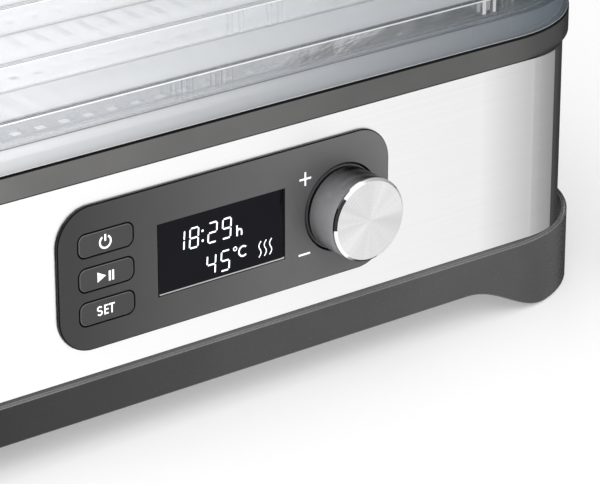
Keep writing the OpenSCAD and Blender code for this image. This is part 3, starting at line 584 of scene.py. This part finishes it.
signs = {
    # power sign: middle and radius of its ring, and the ends of its bar above the ring and above the middle
    "pen": 0.9, "power": (-64.2, 94.8, 2.75), "powerBar": (0.7, 0.4),
    "play": (-64.3, 79.5), "playHigh": 4.6, "playWide": 4.3,
    "bars": (-62.4, -60.7), "barsZ": 78.9, "barPen": 1.0,
    # left edge and width of each letter; the middle bars of the E are a little thinner
    "letterPen": 0.72, "letterZ": 61.7, "letterHigh": 4.5, "thinner": 0.9,
    "s": (-69.3, 2.9), "e": (-65.6, 2.2), "t": (-63.1, 2.9),
    # middles of the plus and the minus, and half their length
    "plus": (41.5, 97.0), "minus": (41.0, 61.4), "arm": 3.2, "armPen": 0.9,
    # body of each key and the heights between which its sign lies; depths on the keys and on the panel
    "keys": {"power_key": (88, 102), "play_key": (72, 88), "set_key": (56, 68)},
    "keyDepths": (-1.6, -1.64), "panelDepths": (-1.4, -1.44),
}


def signStrokes(s):
    # signs on the keys and beside the knob: power, play and pause, the word SET, plus and minus
    pen = s["pen"]
    px, pz, pr = s["power"]
    above, inside = s["powerBar"]
    # the ring is open at the top by 64 degrees and drawn in two halves
    shapes = [ribbon(arc(px, pz, pr, 122, 270), pen), ribbon(arc(px, pz, pr, 270, 418), pen)]
    shapes.append(ribbon([(px, pz + pr + above), (px, pz + inside)], pen))
    tx, tz = s["play"]
    half = s["playHigh"] / 2
    shapes.append(np.array([(tx - s["playWide"], tz - half), (tx, tz), (tx - s["playWide"], tz + half)]))
    shapes += [ribbon([(x, s["barsZ"] - half), (x, s["barsZ"] + half)], s["barPen"]) for x in s["bars"]]
    thin, low, high = s["letterPen"], s["letterZ"], s["letterZ"] + s["letterHigh"]
    left, wide = s["s"]
    # the S is two arcs that meet at half height, drawn out to the letter's width
    r = (s["letterHigh"] - thin) / 4
    for z, start, end in ((high - thin / 2 - r, 30, 270), (low + thin / 2 + r, 90, -150)):
        bow = arc(0, z, r, start, end, 16)
        bow[:, 0] = left + wide / 2 + bow[:, 0] * (wide - thin) / (2 * r)
        shapes.append(ribbon(bow, thin))
    left, wide = s["e"]
    shapes.append(ribbon([(left + thin / 2, low), (left + thin / 2, high)], thin))
    for z in (low + thin / 2, (low + high) / 2, high - thin / 2):
        shapes.append(ribbon([(left + thin, z), (left + wide, z)], thin * s["thinner"]))
    left, wide = s["t"]
    shapes.append(ribbon([(left + wide / 2, low), (left + wide / 2, high - thin)], thin))
    shapes.append(ribbon([(left, high - thin / 2), (left + wide, high - thin / 2)], thin))
    x, z = s["plus"]
    arm, thin = s["arm"], s["armPen"]
    shapes.append(ribbon([(x - arm, z), (x + arm, z)], thin))
    shapes += [ribbon([(x, z + e * thin / 2), (x, z + e * arm)], thin) for e in (-1, 1)]
    x, z = s["minus"]
    shapes.append(ribbon([(x - arm, z), (x + arm, z)], thin))
    return shapes


verts, faces = flatShapes(digitStrokes(digits) + smallStrokes(small), *digits["depths"])
addPiece("displayFigures", verts, faces, [litDigits], "base")
# the keys stand left of x = 0 and the knob's signs right of it
allSigns = signStrokes(signs)
for body, (low, high) in signs["keys"].items():
    own = [sign for sign in allSigns if sign[:, 0].mean() < 0 and low < sign[:, 1].mean() < high]
    verts, faces = flatShapes(own, *signs["keyDepths"])
    addPiece(body + "Sign", verts, faces, [whiteInk], body)
verts, faces = flatShapes([sign for sign in allSigns if sign[:, 0].mean() > 0], *signs["panelDepths"])
addPiece("knobSigns", verts, faces, [whiteInk], "base")


knob = {
    "r": 19.3, "wall": 2.4, "shaft": 3.1, "steps": 96,
    # depths of the sleeve's back, the back of the foot, a near-black ring of painted shadow, the seam between
    # sleeve and cap, and the cap's face
    "back": -2.9, "foot": -1.45, "split": -19.4, "front": -21.5,
    # sleeve: round at the back, width of the seam, how far the shaft's tube stays short of the back
    "backEdge": 0.3, "seam": 0.15, "tubeShort": 1.5,
    # foot, the ring of painted shadow behind the sleeve: how far it stands in from the sleeve, its gap to the
    # sleeve's wall, how far it reaches into it
    "shadowRingIn": 0.35, "shadowRingGap": 0.1, "shadowRingReach": 0.4,
    # cap: chamfer, break of its outer edges, step between chamfer and face, small opening on the axis
    "chamfer": 1.1, "capEdge": 0.1, "faceStep": 0.04, "axis": 0.02,
    # sides of the cap's profile, counted from the seam, that are polished
    "polished": (1, 4),
}


def addKnob(s):
    # turned plastic sleeve, open at the back, with a near-black foot behind it as painted shadow, and a metal
    # cap with a bright chamfer; each is a closed profile of (radius, depth)
    r, wall, steps = s["r"], s["wall"], s["steps"]
    back, split, front, tube = s["back"], s["split"], s["front"], s["back"] - s["tubeShort"]
    lip, seam = s["backEdge"], s["seam"]
    sleeve = [(r - lip, back), (r, back - lip), (r, split + seam), (r - seam, split), (s["shaft"], split),
              (s["shaft"], tube), (s["shaft"] + wall, tube), (s["shaft"] + wall, split + wall),
              (r - wall, split + wall), (r - wall, back)]
    faces = gridFaces(len(sleeve), steps, wrapRows=True)
    mats = [materials["knob_plastic"]]
    addPiece("knobSleeve", revolveFront(sleeve, knobX, knobZ, steps), faces, mats, "knob",
             ["knob_body"], 50)
    outer, inner, reach = r - s["shadowRingIn"], r - wall - s["shadowRingGap"], back - s["shadowRingReach"]
    foot = [(outer, reach), (outer, s["foot"]), (inner, s["foot"]), (inner, reach)]
    faces = gridFaces(len(foot), steps, wrapRows=True)
    addPiece("knobShadowRing", revolveFront(foot, knobX, knobZ, steps), faces, [paintedShadeEdge], "knob",
             (), 40)
    slope, edge = s["chamfer"], s["capEdge"]
    cap = [(s["axis"], split), (r - edge, split), (r, split - edge), (r, front + slope),
           (r - slope, front + s["faceStep"]), (r - slope - edge, front), (s["axis"], front)]
    rings = len(cap) - 1
    # the two small openings on the axis are closed by a flat face each
    faces = gridFaces(len(cap), steps) + [list(range(steps)), list(range(steps * rings, steps * len(cap)))]
    side = np.repeat(np.arange(rings), steps)
    first, last = s["polished"]
    bright = ((side >= first) & (side <= last)).astype(int).tolist() + [0, 0]
    mats = [materials["cap_metal"], polishedEdgeAndHighlight]
    addPiece("knobFace", revolveFront(cap, knobX, knobZ, steps), faces, mats, "knob",
             ["knob_cap"], 20, bright)


addKnob(knob)


window = {
    "x": -3.6, "z": 78.9, "w": 67.0, "h": 33.0, "r": 0.6, "cornerSteps": 4,
    # slope: how far it reaches over the opening's edge and into the opening, and the depths of its four
    # rings, two outside on the panel and two inside on the lens
    "over": 0.05, "wide": 0.35, "outerDepths": (-1.35, -1.42), "innerDepths": (-0.96, -0.91),
    # sides of the slope within this distance of the lower or left edge have a finish of their own
    "near": 1.0,
}


def addWindowTrim(s):
    # slope around the display, from the panel face down to the lens: polished below as a painted highlight,
    # plain at the left, and near black above and at the right as painted shade
    outer, inner = (roundedRect(s["w"], s["h"], s["r"], inset, s["cornerSteps"])
                    for inset in (-s["over"], s["wide"]))
    rings = [(outer, depth) for depth in s["outerDepths"]] + [(inner, depth) for depth in s["innerDepths"]]
    verts = frontRings(s["x"], s["z"], rings)
    middles = (outer + np.roll(outer, -1, axis=0)) / 2
    below = middles[:, 1] < s["near"] - s["h"] / 2
    left = middles[:, 0] < s["near"] - s["w"] / 2
    sides = np.where(below, 1, np.where(left, 2, 0))
    mats = [paintedShadeEdge, polishedEdgeAndHighlight, materials["panel_plastic"]]
    addPiece("windowTrim", verts, gridFaces(len(rings), len(outer), wrapRows=True), mats, "base",
             (), 20, np.tile(sides, len(rings)))


addWindowTrim(window)


stack = {
    # outline of a tray and the place of its middle along y; height of the first tray's foot, pitch and number
    "w": 463.2, "d": 300.0, "r": 66.0, "cornerSteps": 24, "y": 8.3,
    "bottom": 134.5, "pitch": 24.2, "trays": 5,
    # heights of the near-black ring of painted shadow on the rim, and how far this ring and the lines stand
    # in from the outline
    "gapShadow": (-0.35, 0.75), "gapShadowIn": (0.05, 0.55), "edgeIn": (0.54, 0.9),
    # lines of painted shade along a tray's outer edges: from and to above its foot, and whether they are
    # painted highlights instead
    "lines": [("Foot", 0.0, 0.3, False), ("Band", 11.75, 12.0, False), ("FlangeTop", 23.5, 23.75, False),
              ("FlangeMiddle", 22.9, 23.15, False), ("Flange", 22.2, 22.85, True)],
    # the lowest tray's foot line lies just above the rim's ring of painted shadow instead, and is a painted
    # highlight
    "lowFoot": (0.75, 1.0, True),
}


def addRing(name, s, insets, low, high, mat, body):
    # flat ring that follows the outline of the trays: a rectangle's corners, (outer, low), (outer, high),
    # (inner, high) and (inner, low), carried along the outline
    outer, inner = (roundedRect(s["w"], s["d"], s["r"], inset, s["cornerSteps"]) for inset in insets)
    rings = [(outer, low), (outer, high), (inner, high), (inner, low)]
    verts = np.concatenate([np.column_stack([o + (0, s["y"]), np.full(len(o), z)]) for o, z in rings])
    faces = gridFaces(len(rings), len(outer), wrapRows=True)
    addPiece(name, verts * mm, faces, [mat], body, (), 40)


def addStackLines(s):
    # near-black ring of painted shadow on the rim under the lowest tray, and the lines of painted shade and
    # highlight along each tray's foot, band and flange
    low, high = (s["bottom"] + z for z in s["gapShadow"])
    addRing("rimGapShadow", s, s["gapShadowIn"], low, high, paintedShadeEdge, "base")
    for k in range(1, s["trays"] + 1):
        foot = s["bottom"] + (k - 1) * s["pitch"]
        for word, *line in s["lines"]:
            body = "tray_%d" % k
            low, high, highlighted = s["lowFoot"] if k == 1 and word == "Foot" else line
            mat = paintedEdgeHighlight if highlighted else paintedGapShade if k == 1 else paintedSoftShade
            addRing(body + word + "Line", s, s["edgeIn"], foot + low, foot + high, mat, body)


addStackLines(stack)
print("stage 3: figures, signs, knob, display trim and lines on the trays")

soft = {name: softened(name, edges) for name in edges["rounds"]}
soft["base_pan"].visible_glossy = False
print("stage 4: softened mouldings, keys and steel sheet")

studio = {
    # camera: angles in degrees, distance from its target in metres, lens and sensor in mm
    "azimuth": -37.511, "elevation": 23.059, "distance": 1.44123, "target": (0.03967, -0.1417, 0.06716),
    "lens": 196.7, "sensor": 36.0,
    # paper: half its side, share of light of its own where it is seen, and its tone
    "floorHalf": 6.0, "floorOwn": 0.36, "floorPaper": 0.95,
    # level of the soft light, of the room that mirrors show, and of the pale ground that is seen
    "worldLevel": 1.5, "roomStrength": 1.3, "seenLevel": 1.0,
    # brightness of the room that mirrors and clear plastic show, by the angle from the front to the right
    "room": [(-180, 0.03), (-172, 0.03), (-164, 1.0), (28, 1.3), (34, 1.3), (37, 1.05), (41.5, 0.94),
             (44, 0.78), (54, 0.62), (79, 0.52), (96, 0.36), (104, 0.16), (108, 0.06), (139, 0.06),
             (146, 1.0), (160, 1.0), (164, 0.03), (180, 0.03)],
    # dark board at the left: from and to, in degrees from the front, and the lowest height that it hides, as
    # the upward part of a direction
    "board": (-54.0, -31.0, -0.43), "boardTone": 0.04,
    "keyPlace": (-0.5, -1.0, 0.9), "keySize": 0.7, "keyPower": 6.0,
    "bounces": {"transparent_max_bounces": 48, "max_bounces": 24, "transmission_bounces": 24,
                "glossy_bounces": 8},
}


def addCamera(s):
    # camera at its distance from the target, along a direction given by azimuth and elevation
    az, el = math.radians(s["azimuth"]), math.radians(s["elevation"])
    back = Vector((math.sin(az) * math.cos(el), -math.cos(az) * math.cos(el), math.sin(el)))
    camera = bpy.data.objects.new("camera", bpy.data.cameras.new("camera"))
    camera.data.lens = s["lens"]
    camera.data.sensor_width = s["sensor"]
    camera.location = Vector(s["target"]) + back * s["distance"]
    camera.rotation_euler = back.to_track_quat("Z", "Y").to_euler()
    bpy.context.scene.collection.objects.link(camera)
    bpy.context.scene.camera = camera


def addFloor(s):
    # wide white paper with a share of its own light where it is seen; mirrors and clear plastic don't meet it
    h = s["floorHalf"]
    mat, add, link, out = newMaterial("floorPaper")
    tone = s["floorPaper"]
    paper = add("ShaderNodeBsdfDiffuse", Color=(tone, tone, tone, 1))
    own = add("ShaderNodeEmission", Strength=1.0)
    path = add("ShaderNodeLightPath")
    share = add("ShaderNodeMath", operation="MULTIPLY")
    share.inputs[1].default_value = s["floorOwn"]
    link(path.outputs["Is Camera Ray"], share.inputs[0])
    link(mixShaders(add, link, share.outputs[0], paper, own).outputs[0], out.inputs["Surface"])
    mesh = bpy.data.meshes.new("floor")
    mesh.from_pydata([(-h, -h, 0), (h, -h, 0), (h, h, 0), (-h, h, 0)], [], [(0, 1, 2, 3)])
    mesh.materials.append(mat)
    floor = bpy.data.objects.new("floor", mesh)
    bpy.context.scene.collection.objects.link(floor)
    floor.visible_glossy = floor.visible_transmission = False


def addWorld(s):
    # pale where seen, toned round the room for mirrors and clear plastic, and the same tones without the
    # board for soft light
    world = bpy.data.worlds.new("studio")
    bpy.context.scene.world = world
    world.use_nodes = True
    add, link = nodeTools(world.node_tree)

    def maths(operation, first, second):
        # a node for a sum on two values, of which the second may be a plain number
        node = add("ShaderNodeMath", operation=operation)
        link(first, node.inputs[0])
        if isinstance(second, float):
            node.inputs[1].default_value = second
        else:
            link(second, node.inputs[1])
        return node.outputs[0]

    coords = add("ShaderNodeTexCoord")
    parts = add("ShaderNodeSeparateXYZ")
    link(coords.outputs["Generated"], parts.inputs[0])
    # the angle from the front towards the right, and its share of the full turn
    angle = maths("ARCTAN2", parts.outputs["X"], maths("MULTIPLY", parts.outputs["Y"], -1.0))
    ramp = add("ShaderNodeValToRGB")
    link(spread(add, link, angle, 0, 1, -math.pi, math.pi), ramp.inputs[0])
    stops = ramp.color_ramp.elements
    for k, (degrees, tone) in enumerate(s["room"]):
        place = (degrees + 180) / 360
        stop = stops[0] if k == 0 else stops[-1] if k == len(s["room"]) - 1 else stops.new(place)
        stop.position = place
        level = tone / s["roomStrength"]
        stop.color = (level, level, level, 1)
    start, end, lowest = s["board"]
    held = maths("MULTIPLY", maths("GREATER_THAN", angle, math.radians(start)),
                 maths("LESS_THAN", angle, math.radians(end)))
    held = maths("MULTIPLY", held, maths("GREATER_THAN", parts.outputs["Z"], lowest))
    boarded = add("ShaderNodeMix", data_type="RGBA")
    boarded.inputs[7].default_value = (s["boardTone"], s["boardTone"], s["boardTone"], 1)
    link(held, boarded.inputs[0])
    link(ramp.outputs[0], boarded.inputs[6])
    room = add("ShaderNodeBackground", Strength=s["roomStrength"])
    link(boarded.outputs[2], room.inputs["Color"])
    even = add("ShaderNodeBackground", Strength=s["worldLevel"])
    link(ramp.outputs[0], even.inputs["Color"])
    seen = add("ShaderNodeBackground", Strength=s["seenLevel"])
    path = add("ShaderNodeLightPath")
    either = maths("MAXIMUM", path.outputs["Is Glossy Ray"], path.outputs["Is Transmission Ray"])
    toned = mixShaders(add, link, either, even, room)
    out = add("ShaderNodeOutputWorld")
    link(mixShaders(add, link, path.outputs["Is Camera Ray"], toned, seen).outputs[0], out.inputs["Surface"])


def addLamp(name, place, size, power, aimAt):
    # soft round lamp that mirrors don't show
    lamp = bpy.data.lights.new(name, "AREA")
    lamp.shape = "DISK"
    lamp.size = size
    lamp.energy = power
    holder = bpy.data.objects.new(name, lamp)
    holder.location = place
    holder.rotation_euler = (Vector(aimAt) - Vector(place)).to_track_quat("-Z", "Y").to_euler()
    holder.visible_glossy = False
    bpy.context.scene.collection.objects.link(holder)


addCamera(studio)
addFloor(studio)
addWorld(studio)
addLamp("keyLight", studio["keyPlace"], studio["keySize"], studio["keyPower"], studio["target"])
scene = bpy.context.scene
scene.view_settings.view_transform = "Standard"
for setting, count in studio["bounces"].items():
    setattr(scene.cycles, setting, count)
print("stage 5: camera, floor and lights")
